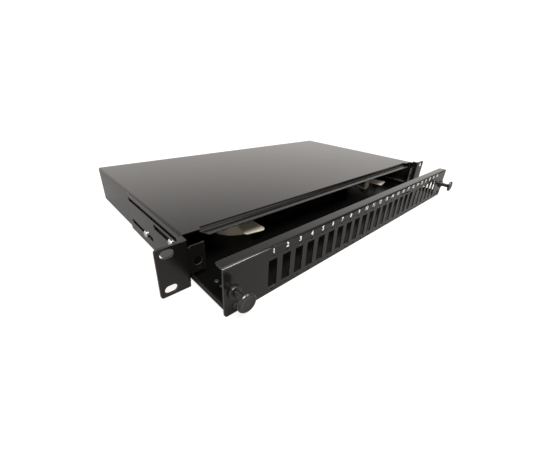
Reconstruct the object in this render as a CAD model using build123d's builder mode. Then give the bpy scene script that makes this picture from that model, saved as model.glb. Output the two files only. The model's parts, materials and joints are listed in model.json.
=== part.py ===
"""A 1U sliding fibre termination panel for a 19 inch rack.

X runs along the front, Y to the back and Z up, in millimetres. The origin is
the centre of the four rack slots, on the front face of the rack ears. The
drawer stands part open; every drawer dimension is given as if it were closed
and then moved forward by drawer_open.
"""
from build123d import *
from math import cos, radians, sin
import os

# ---------------------------------------------------------------- dimensions
# rack interface
rack_width = 482.6
rack_unit_height = 43.7
slot_columns = 465.1
slot_rows = 31.75
rack_slot_width = 10.2
rack_slot_height = 6.8
ear_sheet = 2.0

# housing
sheet = 1.2
body_half = 215.8
body_top = 20.6
body_bottom = -22.6
body_front = 12.3
body_back = 244.0
bend = 2.0
lip_half = 197.5
lip_front = 6.5
lip_back = 16.4
lip_top = 16.6
latch_front = 3.6
latch_inner = 200.0
latch_low = -13.0
latch_high = 13.5
latch_hole_radius = 3.8
flange_screw_x = 208.0
flange_screw_heights = (-15.0, 13.0)

# ear brackets
bracket_inner = 216.0
bracket_outer = bracket_inner + ear_sheet
bracket_length = 132.0
bracket_top = 19.95
bracket_bottom = -21.85
low_slot = (69.5, 125.5, -9.55, 4.4)     # first y, last y, height, width
high_slot = (22.0, 63.3, 8.15, 4.6)
long_slot = (15.0, 126.5, 15.15, 3.8)
cover_long_slot = (24.0, 126.5, 15.15, 3.8)
bracket_screws_at = ((86.0, low_slot[2]), (26.0, high_slot[2]))

# drawer
drawer_open = 46.4
drawer_reach = 110.0                       # further travel before the stops meet the latch tabs
panel_sheet = 1.5
panel_half = 215.5
panel_top = 20.65
panel_bottom = -21.9
panel_fold = 10.6
panel_bend = 2.4
tray_half = 212.5
tray_floor = -20.3
tray_top = tray_floor + sheet
tray_lip_top = -15.3
tray_back = 214.0
stop_front = latch_front + sheet + drawer_open + drawer_reach + 0.2
stop_depth = 18.0

# adapter openings
port_count = 24
port_pitch = 15.05
port_row_centre = 3.3
port_width = 9.4
port_height = 26.0
port_centre = -3.75
adapter_hole_spacing = 31.4
adapter_hole_radius = 1.0

# push-pull plungers
plunger_x = 206.9
plunger_z = -2.2
plunger_out = 16.0
plunger_head_radius = 7.8
bore_radius = 2.68
stem_radius = 2.6
panel_screw_x = 206.1
panel_screw_z = -15.25

# fibre guides and splice tray
guide_x = 125.5
guide_front_y = 116.4
guide_back_y = 138.0
guide_radius = 31.0
guide_wall = 2.6
guide_height = 14.8
splice_half = 74.0
splice_front = 110.0
splice_back = 204.0
splice_bottom = tray_top + 3.0
splice_height = 10.5

# cable entries in the rear panel
gland_x = 172.0
plug_x = 132.0
entry_z = -3.0
entry_radius = 10.2
earth_x = 84.0
earth_z = -10.0

sides = (("left", -1), ("right", 1))
os.makedirs("parts", exist_ok=True)


# ------------------------------------------------------------------- helpers
def block(x, y, z, mode=Mode.ADD):
    """A box between two corners, each given as a (low, high) pair."""
    with Locations(((x[0] + x[1]) / 2, (y[0] + y[1]) / 2, (z[0] + z[1]) / 2)):
        Box(abs(x[1] - x[0]), abs(y[1] - y[0]), abs(z[1] - z[0]), mode=mode)


def rod_y(x, z, y, radius, mode=Mode.ADD):
    """A cylinder along Y between two y values."""
    with Locations(Location((x, (y[0] + y[1]) / 2, z), (90, 0, 0))):
        Cylinder(radius, abs(y[1] - y[0]), mode=mode)


def rod_x(y, z, x, radius, mode=Mode.ADD):
    """A cylinder along X between two x values."""
    with Locations(Location(((x[0] + x[1]) / 2, y, z), (0, 90, 0))):
        Cylinder(radius, abs(x[1] - x[0]), mode=mode)


def rod_z(x, y, z, radius, mode=Mode.ADD):
    """A cylinder along Z between two heights."""
    with Locations((x, y, (z[0] + z[1]) / 2)):
        Cylinder(radius, abs(z[1] - z[0]), mode=mode)


def side_slot(slot, x, mode=Mode.SUBTRACT):
    """A round-ended slot along Y, through a wall that spans the pair x."""
    first, last, height, width = slot
    radius = width / 2
    block(x, (first + radius, last - radius), (height - radius, height + radius), mode)
    for y in (first + radius, last - radius):
        rod_x(y, height, x, radius, mode)


def span(side, near, far):
    """The (low, high) pair in x of a stretch on one side of the middle."""
    return tuple(sorted((side * near, side * far)))


def keep(part, name):
    """Label a finished piece and write it."""
    part.label = name
    export_step(part, f"parts/{name}.step")


def keep_drawer(part, name):
    """Write a piece that rides in the drawer, moved to its open place."""
    keep(Pos(0, -drawer_open, 0) * part, name)


# --------------------------------------------------------------------- cover
with BuildPart() as cover:
    with BuildSketch(Plane.XZ.offset(-latch_front)) as hat_section:
        with Locations((0, (body_top + body_bottom) / 2)):
            Rectangle(2 * body_half, body_top - body_bottom)
        with Locations((0, (body_top + body_bottom) / 2 - sheet)):
            Rectangle(2 * (body_half - sheet), body_top - body_bottom, mode=Mode.SUBTRACT)
        fillet(hat_section.vertices().group_by(Axis.Y)[-1], bend)
    extrude(amount=-(body_back - latch_front))
    # the walls reach forward of the roof only where the latch tabs fold in
    block((-body_half, body_half), (0, body_front), (latch_high, body_top), Mode.SUBTRACT)
    block((-body_half, body_half), (0, body_front), (body_bottom, latch_low - 7.0), Mode.SUBTRACT)
    # the front of the roof steps down to a lip that the drawer closes over
    block((-lip_half, lip_half), (0, lip_back), (lip_top, body_top), Mode.SUBTRACT)
    with BuildSketch(Plane.YZ) as lip_section:
        with BuildLine():
            Polyline(
                (lip_front, lip_top - sheet),
                (lip_back + bend, lip_top - sheet),
                (lip_back + bend, body_top),
                (lip_back + bend - sheet, body_top),
                (lip_back, body_top - 0.6),
                (lip_back - 0.6, lip_top + 1.0),
                (lip_back - 1.6, lip_top),
                (lip_front, lip_top),
                close=True,
            )
        make_face()
    extrude(amount=lip_half, both=True)
    block((-lip_half, lip_half), (lip_back + sheet, lip_back + bend + 1),
          (lip_top - sheet, body_top - sheet), Mode.SUBTRACT)
    lip_corners = cover.edges().filter_by(Axis.Z).filter_by_position(Axis.Y, 6.0, 7.0)
    chamfer(lip_corners, 4.0, 8.0)
    for side in (-1, 1):
        # latch tab with the hole that the plunger snaps into
        block(span(side, latch_inner, body_half - 0.5), (latch_front, latch_front + sheet),
              (latch_low, latch_high))
        rod_y(side * plunger_x, plunger_z, (latch_front - 1, latch_front + 2),
              latch_hole_radius, Mode.SUBTRACT)
        for relief in (latch_low, latch_high):
            rod_y(side * (body_half - 2.2), relief, (latch_front - 1, latch_front + 2), 1.0,
                  Mode.SUBTRACT)
        # rear flange that the rear panel is screwed to
        block(span(side, 202.0, body_half - sheet), (body_back - 2 * sheet, body_back - sheet),
              (-20.4, 18.4))
        for z in flange_screw_heights:
            rod_y(side * flange_screw_x, z, (body_back - 4, body_back), 1.5, Mode.SUBTRACT)
        # slots behind those of the ear bracket
        for slot in (low_slot, high_slot, cover_long_slot):
            side_slot(slot, span(side, body_half - 2, body_half + 1))
keep(cover.part, "cover")

# ---------------------------------------------------------------- base plate
base_front = 13.5
base_half = 214.5
fold_inside = body_back - 2 * sheet - 0.1
rivet_rows = (30.0, 90.0, 150.0, 210.0)
rivet_x = 209.0
rivet_radius = 1.6
fold_screws_at = [(x, -18.0) for x in (-150.0, -50.0, 50.0, 150.0)]
with BuildPart() as base_plate:
    block((-base_half, base_half), (base_front, fold_inside), (body_bottom, body_bottom + sheet))
    for side in (-1, 1):
        for y in rivet_rows:
            rod_z(side * rivet_x, y, (body_bottom - 1, body_bottom + 2), rivet_radius, Mode.SUBTRACT)
    # a folded-up back edge that the rear panel is screwed to
    block((-190, 190), (fold_inside, body_back - sheet), (body_bottom, -15.2))
    for x, z in fold_screws_at:
        rod_y(x, z, (body_back - 5, body_back), 1.5, Mode.SUBTRACT)
keep(base_plate.part, "base_plate")

# -------------------------------------------------------------- slide rails
rail_foot = body_bottom + sheet
rail_thickness = 1.0
rail_roof = -15.0
rail_foot_inner = 204.0
rail_roof_inner = 206.5
rail_back = 225.0
for name, side in sides:
    with BuildPart() as slide_rail:
        with BuildSketch(Plane.XZ.offset(-base_front)) as channel:
            with BuildLine():
                Polyline(
                    (side * rail_foot_inner, rail_foot),
                    (side * base_half, rail_foot),
                    (side * base_half, rail_roof + rail_thickness),
                    (side * rail_roof_inner, rail_roof + rail_thickness),
                    (side * rail_roof_inner, rail_roof),
                    (side * (base_half - rail_thickness), rail_roof),
                    (side * (base_half - rail_thickness), rail_foot + rail_thickness),
                    (side * rail_foot_inner, rail_foot + rail_thickness),
                    close=True,
                )
            make_face()
        extrude(amount=-(rail_back - base_front))
        for y in rivet_rows:
            rod_z(side * rivet_x, y, (rail_foot - 1, rail_foot + 2), rivet_radius, Mode.SUBTRACT)
    keep(slide_rail.part, f"slide_rail_{name}")

with BuildPart() as rail_rivets:
    for side in (-1, 1):
        for y in rivet_rows:
            rod_z(side * rivet_x, y, (body_bottom, rail_foot + rail_thickness - 0.05), rivet_radius)
keep(rail_rivets.part, "rail_rivets")

# ---------------------------------------------------------------- rear panel
rear_inside = body_back - sheet
rear_screws_at = fold_screws_at + [
    (side * flange_screw_x, z) for side in (-1, 1) for z in flange_screw_heights
]
with BuildPart() as rear_panel:
    block((-214.4, 214.4), (rear_inside, body_back), (-22.5, 19.3))
    # stiffening fold along the top edge
    block((-200, 200), (rear_inside - 10, rear_inside), (19.3 - sheet, 19.3))
    for x, z in rear_screws_at:
        rod_y(x, z, (rear_inside - 1, body_back + 1), 1.6, Mode.SUBTRACT)
    for x in (-gland_x, -plug_x, plug_x, gland_x):
        rod_y(x, entry_z, (rear_inside - 1, body_back + 1), entry_radius, Mode.SUBTRACT)
    rod_y(earth_x, earth_z, (rear_inside - 1, body_back + 1), 2.5, Mode.SUBTRACT)
keep(rear_panel.part, "rear_panel")

with BuildPart() as rear_screws:
    for x, z in rear_screws_at:
        rod_y(x, z, (rear_inside - 5, body_back + 0.1), 1.5)
        rod_y(x, z, (body_back, body_back + 2.0), 2.8)
        rod_y(x, z, (body_back + 1.0, body_back + 3.0), 0.8, Mode.SUBTRACT)
    fillet(rear_screws.edges().filter_by(GeomType.CIRCLE).group_by(Axis.Y)[-1]
           .filter_by(lambda edge: edge.radius > 2), 0.8)
keep(rear_screws.part, "rear_screws")

# ---------------------------------------------------------------- earth stud
with BuildPart() as earth_stud:
    with Locations(Location((earth_x, rear_inside - 1.5, earth_z), (90, 0, 0))):
        Cylinder(4.5, 3.0)
    rod_y(earth_x, earth_z, (rear_inside - 1, body_back + 12), 2.4)
    chamfer(earth_stud.edges().group_by(Axis.Y)[-1], 0.6)
keep(earth_stud.part, "earth_stud")

with BuildPart() as earth_washer:
    rod_y(earth_x, earth_z, (body_back, body_back + 1.0), 5.0)
    rod_y(earth_x, earth_z, (body_back - 1, body_back + 2), 2.5, Mode.SUBTRACT)
keep(earth_washer.part, "earth_washer")

with BuildPart() as earth_nut:
    with BuildSketch(Plane.XZ.offset(-(body_back + 1.0))):
        with Locations((earth_x, earth_z)):
            RegularPolygon(4.5, 6)
            Circle(2.4, mode=Mode.SUBTRACT)
    extrude(amount=-4.0)
    chamfer(earth_nut.faces().sort_by(Axis.Y)[-1].outer_wire().edges(), 0.5)
keep(earth_nut.part, "earth_nut")

# ------------------------------------------------------------- cable glands
thread_radius = 10.0
seal_radius = 7.6
cable_radius = 4.5
wrench_radius = 13.0
for name, side in sides:
    x = side * gland_x
    with BuildPart() as gland_body:
        with BuildSketch(Plane.XZ.offset(-body_back)):
            with Locations((x, entry_z)):
                RegularPolygon(wrench_radius, 6)
        extrude(amount=-6.0)
        chamfer(gland_body.edges().filter_by(Axis.Y), 0.8)
        rod_y(x, entry_z, (rear_inside - 9, body_back + 1), thread_radius)
        rod_y(x, entry_z, (body_back + 5, body_back + 16), 9.0)
        rod_y(x, entry_z, (rear_inside - 10, body_back + 20), seal_radius, Mode.SUBTRACT)
    keep(gland_body.part, f"gland_body_{name}")

    with BuildPart() as gland_locknut:
        with BuildSketch(Plane.XZ.offset(-(rear_inside - 4.5))):
            with Locations((x, entry_z)):
                RegularPolygon(wrench_radius, 6)
                Circle(thread_radius, mode=Mode.SUBTRACT)
        extrude(amount=-4.5)
        chamfer(gland_locknut.edges().filter_by(Axis.Y), 0.8)
    keep(gland_locknut.part, f"gland_locknut_{name}")

    with BuildPart() as gland_seal:
        rod_y(x, entry_z, (body_back + 4, body_back + 18), seal_radius)
        rod_y(x, entry_z, (body_back + 3, body_back + 20), cable_radius, Mode.SUBTRACT)
    keep(gland_seal.part, f"gland_seal_{name}")

    with BuildPart() as gland_dome:
        rod_y(x, entry_z, (body_back + 6.2, body_back + 22), 12.0)
        fillet(gland_dome.edges().group_by(Axis.Y)[-1], 4.0)
        with BuildSketch(Plane.XZ.offset(-(body_back + 6.2))):
            with Locations((x, entry_z)):
                with PolarLocations(12.4, 12):
                    Circle(1.1)
        extrude(amount=-9.0, mode=Mode.SUBTRACT)
        rod_y(x, entry_z, (body_back + 6, body_back + 18.2), 9.05, Mode.SUBTRACT)
        rod_y(x, entry_z, (body_back + 17, body_back + 23), 6.2, Mode.SUBTRACT)
    keep(gland_dome.part, f"gland_dome_{name}")

    with BuildPart() as blanking_plug:
        rod_y(side * plug_x, entry_z, (rear_inside - 4, body_back + 1), entry_radius - 0.1)
        rod_y(side * plug_x, entry_z, (body_back, body_back + 2.2), 12.5)
        fillet(blanking_plug.edges().group_by(Axis.Y)[-1], 1.2)
        rod_y(side * plug_x, entry_z, (rear_inside - 5, body_back), entry_radius - 2.0,
              Mode.SUBTRACT)
    keep(blanking_plug.part, f"blanking_plug_{name}")

# ------------------------------------------------------------- ear brackets
for name, side in sides:
    with BuildPart() as ear_bracket:
        with BuildSketch(Plane.XY.offset(-rack_unit_height / 2)):
            with BuildLine():
                Polyline(
                    (side * bracket_inner, bracket_length),
                    (side * bracket_outer, bracket_length),
                    (side * bracket_outer, ear_sheet),
                    (side * rack_width / 2, ear_sheet),
                    (side * rack_width / 2, 0),
                    (side * bracket_inner, 0),
                    close=True,
                )
            make_face()
        extrude(amount=rack_unit_height)
        fold = ear_bracket.edges().filter_by(Axis.Z).sort_by_distance((side * bracket_inner, 0, 0))
        fillet(fold[0], 1.6)
        # the flange is a little lower than the ear
        block(span(side, bracket_inner - 1, bracket_outer + 1), (9.0, bracket_length + 1),
              (bracket_top, bracket_top + 5), Mode.SUBTRACT)
        corners = ear_bracket.edges().filter_by(Axis.Y).sort_by(Axis.X)
        fillet(corners[-2:] if side > 0 else corners[:2], 2.5)
        ends = ear_bracket.edges().filter_by(Axis.X).group_by(Axis.Y)[-1]
        fillet(ends, 1.5)
        # four rack slots in all, two in each ear
        with BuildSketch(Plane.XZ):
            with Locations((side * slot_columns / 2, 0)):
                with GridLocations(0, slot_rows, 1, 2):
                    SlotOverall(rack_slot_width, rack_slot_height)
        extrude(amount=ear_sheet + 1, both=True, mode=Mode.SUBTRACT)
        for slot in (low_slot, high_slot, long_slot):
            side_slot(slot, span(side, bracket_inner - 1, bracket_outer + 1))
    keep(ear_bracket.part, f"ear_bracket_{name}")

with BuildPart() as bracket_screws:
    for side in (-1, 1):
        for y, z in bracket_screws_at:
            rod_x(y, z, span(side, 208.0, bracket_outer + 0.3), 2.0)
            rod_x(y, z, span(side, bracket_outer + 0.1, bracket_outer + 2.3), 3.6)
            with Locations((side * (bracket_outer + 2.3), y, z)):
                Box(2.0, 4.0, 0.9, mode=Mode.SUBTRACT)
                Box(2.0, 0.9, 4.0, mode=Mode.SUBTRACT)
keep(bracket_screws.part, "bracket_screws")

with BuildPart() as bracket_nuts:
    for side in (-1, 1):
        for y, z in bracket_screws_at:
            with BuildSketch(Plane.YZ.offset(side * (body_half - sheet))):
                with Locations((y, z)):
                    RegularPolygon(4.0, 6)
                    Circle(2.04, mode=Mode.SUBTRACT)
            extrude(amount=-side * 3.2)
keep(bracket_nuts.part, "bracket_nuts")

# --------------------------------------------------------------- front panel
with BuildPart() as front_panel:
    with BuildSketch(Plane.YZ) as fold_section:
        with BuildLine():
            Polyline(
                (0, panel_bottom),
                (panel_sheet, panel_bottom),
                (panel_sheet, panel_top - panel_sheet),
                (panel_fold, panel_top - panel_sheet),
                (panel_fold, panel_top),
                (0, panel_top),
                close=True,
            )
        make_face()
        fillet(fold_section.vertices().sort_by_distance((0, panel_top))[0], panel_bend)
    extrude(amount=panel_half, both=True)
    top_corners = front_panel.edges().filter_by(Axis.Z).group_by(Axis.Y)[-1]
    fillet(top_corners, 3.0)
    low_corners = front_panel.edges().filter_by(Axis.Y).group_by(Axis.Z)[0]
    fillet(low_corners, 3.0)
    # short fold under the tray
    block((-lip_half, lip_half), (0, panel_fold), (panel_bottom - 0.4, panel_bottom + 0.8))
    with BuildSketch(Plane.XZ):
        with Locations((port_row_centre, port_centre)):
            with GridLocations(port_pitch, 0, port_count, 1):
                Rectangle(port_width, port_height)
            with GridLocations(port_pitch, adapter_hole_spacing, port_count, 2):
                Circle(adapter_hole_radius)
    extrude(amount=-2 * panel_sheet, mode=Mode.SUBTRACT)
    for side in (-1, 1):
        rod_y(side * plunger_x, plunger_z, (-1, 3), 4.1, Mode.SUBTRACT)
        rod_y(side * panel_screw_x, panel_screw_z, (-1, 3), 1.6, Mode.SUBTRACT)
keep_drawer(front_panel.part, "front_panel")

with BuildPart() as panel_screws:
    for side in (-1, 1):
        rod_y(side * panel_screw_x, panel_screw_z, (-0.1, 5.0), 1.5)
        rod_y(side * panel_screw_x, panel_screw_z, (-1.3, 0), 2.6)
        with Locations((side * panel_screw_x, -1.3, panel_screw_z)):
            Box(2.8, 1.2, 0.7, mode=Mode.SUBTRACT)
            Box(0.7, 1.2, 2.8, mode=Mode.SUBTRACT)
keep_drawer(panel_screws.part, "panel_screws")

# -------------------------------------------------------------- drawer tray
pad_rivets_at = [(side * 199.0, y) for side in (-1, 1) for y in (28.4, 36.4)]
stop_rivets_at = [(side * 201.0, stop_front + y) for side in (-1, 1) for y in (6.0, 14.0)]
anchor_x = 182.0
anchor_screws_at = [(side * anchor_x, y) for side in (-1, 1) for y in (186.0, 204.0)]
guides = [
    (f"fibre_guide_{row}_{name}", side, row)
    for row in ("front", "back") for name, side in sides
]


def guide_centre(side, row):
    """The middle of the quarter circle that a fibre guide follows."""
    return side * guide_x, guide_front_y if row == "front" else guide_back_y


def guide_screw(side, row):
    """The screw through the foot of a fibre guide."""
    x, y = guide_centre(side, row)
    return x + side * 14.0, y - 14.0 if row == "front" else y + 14.0


guide_screws_at = [guide_screw(side, row) for name, side, row in guides]
splice_posts_at = [
    (x, y) for x in (-splice_half + 9, splice_half - 9)
    for y in (splice_front + 9, splice_back - 9)
]
with BuildPart() as drawer_tray:
    block((-tray_half, tray_half), (panel_sheet, tray_back), (tray_floor, tray_top))
    for side in (-1, 1):
        block(span(side, tray_half - sheet, tray_half), (panel_sheet, tray_back),
              (tray_floor, tray_lip_top))
        # tab folded up behind the front panel
        block(span(side, 199.0, tray_half), (panel_sheet, panel_sheet + sheet),
              (tray_floor, -8.6))
        rod_y(side * panel_screw_x, panel_screw_z, (0, 4), 1.5, Mode.SUBTRACT)
    block((-204, 204), (tray_back - sheet, tray_back), (tray_floor, -10.0))
    lip_tips = drawer_tray.edges().filter_by(Axis.X).filter_by_position(Axis.Z, -15.4, -15.2)
    fillet(lip_tips.filter_by_position(Axis.Y, tray_back - 0.1, tray_back + 0.1), 3.0)
    for x, y in pad_rivets_at + stop_rivets_at:
        rod_z(x, y, (tray_floor - 1, tray_top + 1), 1.6, Mode.SUBTRACT)
    for x, y in anchor_screws_at + guide_screws_at + splice_posts_at:
        rod_z(x, y, (tray_floor - 1, tray_top + 1), 1.5, Mode.SUBTRACT)
    # two openings at the back that cable ties pass through
    with BuildSketch(Plane.XY.offset(tray_top)):
        with Locations((0, tray_back - 18)):
            with GridLocations(310, 0, 2, 1):
                SlotOverall(26, 8)
    extrude(amount=-2 * sheet, mode=Mode.SUBTRACT)
keep_drawer(drawer_tray.part, "drawer_tray")

for name, side in sides:
    with BuildPart() as glide_pad:
        block(span(side, 194.5, 203.5), (22.0, 43.0), (rail_foot + 0.1, tray_floor))
        fillet(glide_pad.edges().filter_by(Axis.Z), 2.0)
        for x, y in pad_rivets_at:
            rod_z(x, y, (rail_foot - 1, tray_top), 1.6, Mode.SUBTRACT)
    keep_drawer(glide_pad.part, f"glide_pad_{name}")

    with BuildPart() as drawer_stop:
        block(span(side, 196.0, 205.8), (stop_front, stop_front + stop_depth),
              (tray_top, tray_top + sheet))
        block(span(side, 196.0, 205.8), (stop_front, stop_front + sheet), (tray_top, -8.0))
        for x, y in stop_rivets_at:
            rod_z(x, y, (tray_top - 1, tray_top + 3), 1.6, Mode.SUBTRACT)
    keep_drawer(drawer_stop.part, f"drawer_stop_{name}")

with BuildPart() as glide_pad_rivets:
    for x, y in pad_rivets_at:
        rod_z(x, y, (rail_foot + 0.15, tray_top + 0.1), 1.6)
        rod_z(x, y, (tray_top, tray_top + 0.8), 2.3)
    fillet(glide_pad_rivets.edges().group_by(Axis.Z)[-1], 0.6)
keep_drawer(glide_pad_rivets.part, "glide_pad_rivets")

with BuildPart() as stop_rivets:
    for x, y in stop_rivets_at:
        rod_z(x, y, (tray_floor + 0.05, tray_top + sheet + 0.1), 1.6)
        rod_z(x, y, (tray_top + sheet, tray_top + sheet + 1.0), 2.6)
    fillet(stop_rivets.edges().group_by(Axis.Z)[-1], 0.8)
keep_drawer(stop_rivets.part, "stop_rivets")

# ------------------------------------------------------- plungers and bushes
head_flat = 5.2
head_rim = -plunger_out + 2.2
for name, side in sides:
    with BuildPart() as bush:
        # flange in front, barrel through the panel, barbs and four legs behind
        with BuildSketch(Plane.XY) as bush_section:
            with BuildLine():
                Polyline(
                    (bore_radius, -2.6), (4.6, -2.6), (5.4, -1.8), (5.5, 0), (4.0, 0),
                    (4.0, panel_sheet + 0.05), (4.5, panel_sheet + 0.05), (3.5, 3.2),
                    (3.5, 8.0), (3.1, 8.8), (bore_radius, 8.8), close=True,
                )
            make_face()
        revolve(axis=Axis.Y)
        block((-5, 5), (panel_sheet + 0.6, 10), (-0.5, 0.5), Mode.SUBTRACT)
        block((-0.5, 0.5), (panel_sheet + 0.6, 10), (-5, 5), Mode.SUBTRACT)
    keep_drawer(Pos(side * plunger_x, 0, plunger_z) * bush.part, f"plunger_bush_{name}")

    with BuildPart() as plunger:
        with BuildSketch(Plane.XY) as plunger_section:
            with BuildLine():
                Polyline((0, -plunger_out), (head_flat, -plunger_out))
                ThreePointArc((head_flat, -plunger_out), (plunger_head_radius - 0.4, head_rim - 1.2),
                              (plunger_head_radius, head_rim))
                Polyline((plunger_head_radius, head_rim), (plunger_head_radius - 0.5, head_rim + 0.6),
                         (3.6, head_rim + 1.4), (stem_radius, head_rim + 2.4), (stem_radius, 2.2),
                         (1.6, 3.4), (0, 3.4), (0, -plunger_out))
            make_face()
        revolve(axis=Axis.Y)
    keep_drawer(Pos(side * plunger_x, 0, plunger_z) * plunger.part, f"plunger_{name}")

# -------------------------------------------------------------- fibre guides
ear_turn = 10.3
guide_reach = 54.5
for name, side, row in guides:
    # drawn as the front left guide and turned or mirrored into its place
    start, end = 188.0, 278.0
    lean = 270.0 - ear_turn
    with BuildPart() as guide:
        with BuildSketch(Plane.XY) as foot:
            with BuildLine():
                CenterArc((0, 0), guide_radius, start, end - start)
                Line((guide_radius * cos(radians(end)), guide_radius * sin(radians(end))), (0, 0))
                Line((0, 0), (guide_radius * cos(radians(start)), guide_radius * sin(radians(start))))
            make_face()
            with Locations((-14.0, -14.0)):
                Circle(1.7, mode=Mode.SUBTRACT)
        extrude(amount=1.8)
        with BuildSketch(Plane.XY) as wall:
            with BuildLine():
                CenterArc((0, 0), guide_radius, start, end - start)
                Line((guide_radius * cos(radians(end)), guide_radius * sin(radians(end))),
                     ((guide_radius - guide_wall) * cos(radians(end)),
                      (guide_radius - guide_wall) * sin(radians(end))))
                CenterArc((0, 0), guide_radius - guide_wall, start, end - start)
                Line((guide_radius * cos(radians(start)), guide_radius * sin(radians(start))),
                     ((guide_radius - guide_wall) * cos(radians(start)),
                      (guide_radius - guide_wall) * sin(radians(start))))
            make_face()
        extrude(amount=guide_height)
        # flared ear that keeps the fibre from riding up and off
        with BuildSketch(Plane.XY.offset(guide_height - 1.8)) as ear:
            with Locations(Location((0, 0, 0), (0, 0, lean - 270.0))):
                Polygon((-9.5, -guide_radius + 2), (9.5, -guide_radius + 2),
                        (12.6, -guide_reach), (-12.6, -guide_reach), align=None)
            fillet(ear.vertices().sort_by_distance((0, 0))[-2:], 4.0)
        extrude(amount=1.8)
    placed = guide.part
    if side > 0:
        placed = placed.mirror(Plane.YZ)
    if row == "back":
        placed = placed.mirror(Plane.XZ)
    x, y = guide_centre(side, row)
    keep_drawer(Pos(x, y, tray_top) * placed, name)

with BuildPart() as fibre_guide_screws:
    for x, y in guide_screws_at:
        rod_z(x, y, (tray_floor + 0.1, tray_top + 2), 1.5)
        rod_z(x, y, (tray_top + 1.8, tray_top + 3.6), 2.8)
        with Locations((x, y, tray_top + 3.6)):
            Box(3.2, 0.8, 1.6, mode=Mode.SUBTRACT)
            Box(0.8, 3.2, 1.6, mode=Mode.SUBTRACT)
keep_drawer(fibre_guide_screws.part, "fibre_guide_screws")

# --------------------------------------------------------------- splice tray
splice_middle = (splice_front + splice_back) / 2
splice_depth = splice_back - splice_front
with BuildPart() as splice_tray_base:
    with BuildSketch(Plane.XY.offset(splice_bottom)):
        with Locations((0, splice_middle)):
            RectangleRounded(2 * splice_half, splice_depth, 14)
    extrude(amount=splice_height)
    with BuildSketch(Plane.XY.offset(splice_bottom + 1.6)):
        with Locations((0, splice_middle)):
            RectangleRounded(2 * splice_half - 3.2, splice_depth - 3.2, 12.4)
    extrude(amount=splice_height, mode=Mode.SUBTRACT)
    # fibre entries through the end walls
    for side in (-1, 1):
        for y in (splice_front + 20, splice_back - 20):
            block(span(side, splice_half - 4, splice_half + 1), (y - 5, y + 5),
                  (splice_bottom + 3, splice_bottom + splice_height + 1), Mode.SUBTRACT)
    # round islands that hold the fibre to its bend radius
    for x in (-44.0, 44.0):
        with BuildSketch(Plane.XY.offset(splice_bottom + 1.6)):
            with Locations((x, splice_middle)):
                Circle(24)
                Circle(22.4, mode=Mode.SUBTRACT)
        extrude(amount=6.0)
    for x, y in splice_posts_at:
        rod_z(x, y, (splice_bottom - 1, splice_bottom + 3), 1.7, Mode.SUBTRACT)
keep_drawer(splice_tray_base.part, "splice_tray_base")

lid_bottom = splice_bottom + splice_height + 0.1
with BuildPart() as splice_tray_lid:
    with BuildSketch(Plane.XY.offset(lid_bottom)):
        with Locations((0, splice_middle)):
            RectangleRounded(2 * splice_half, splice_depth, 14)
    extrude(amount=1.2)
    fillet(splice_tray_lid.edges().group_by(Axis.Z)[-1], 0.5)
keep_drawer(splice_tray_lid.part, "splice_tray_lid")

comb_count = 12
comb_pitch = 2.6
for name, y in (("front", splice_middle - 34), ("back", splice_middle + 34)):
    with BuildPart() as splice_comb:
        comb_half = comb_count * comb_pitch / 2 + 1
        block((-comb_half, comb_half), (y - 6, y + 6), (splice_bottom + 1.6, splice_bottom + 3.0))
        with Locations((0, y, splice_bottom + 5.2)):
            with GridLocations(comb_pitch, 0, comb_count + 1, 1):
                Box(0.9, 12, 4.6)
    keep_drawer(splice_comb.part, f"splice_comb_{name}")

with BuildPart() as splice_tray_posts:
    for x, y in splice_posts_at:
        rod_z(x, y, (tray_top, splice_bottom), 4.0)
        rod_z(x, y, (tray_top - 1, splice_bottom + 1), 1.5, Mode.SUBTRACT)
keep_drawer(splice_tray_posts.part, "splice_tray_posts")

with BuildPart() as splice_tray_screws:
    for x, y in splice_posts_at:
        rod_z(x, y, (tray_floor + 0.1, splice_bottom + 1.8), 1.5)
        rod_z(x, y, (splice_bottom + 1.6, splice_bottom + 3.2), 2.8)
keep_drawer(splice_tray_screws.part, "splice_tray_screws")

# ------------------------------------------------------------- cable anchors
for name, side in sides:
    x = side * anchor_x
    with BuildPart() as cable_anchor:
        block((x - 6, x + 6), (181.0, 209.0), (tray_top, tray_top + 2.0))
        block((x - 6, x + 6), (190.0, 200.0), (tray_top, tray_top + 7.0))
        block((x - 7, x + 7), (192.0, 198.0), (tray_top + 2.0, tray_top + 4.6), Mode.SUBTRACT)
        fillet(cable_anchor.edges().filter_by(Axis.X).group_by(Axis.Z)[-1], 2.0)
        for screw_x, screw_y in anchor_screws_at:
            rod_z(screw_x, screw_y, (tray_top - 1, tray_top + 3), 1.6, Mode.SUBTRACT)
    keep_drawer(cable_anchor.part, f"cable_anchor_{name}")

with BuildPart() as cable_anchor_screws:
    for x, y in anchor_screws_at:
        rod_z(x, y, (tray_floor + 0.1, tray_top + 2.1), 1.5)
        rod_z(x, y, (tray_top + 2.0, tray_top + 3.8), 2.8)
keep_drawer(cable_anchor_screws.part, "cable_anchor_screws")
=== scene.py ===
# %% [markdown]
# # A sliding fibre termination panel
#
# The object is one rack unit of bent sheet steel: a housing with two ears, and a
# drawer that slides out of it with 24 upright openings for fibre adapters. The
# engineering model is loaded as a fixed frame. This script gives it its looks:
# it rounds the sheet metal's edges, turns the knobs and screws, prints the
# port numbers and paints everything.

# %% Load the frame
import json
import math

import bmesh
import bpy
from mathutils import Matrix, Vector

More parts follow.
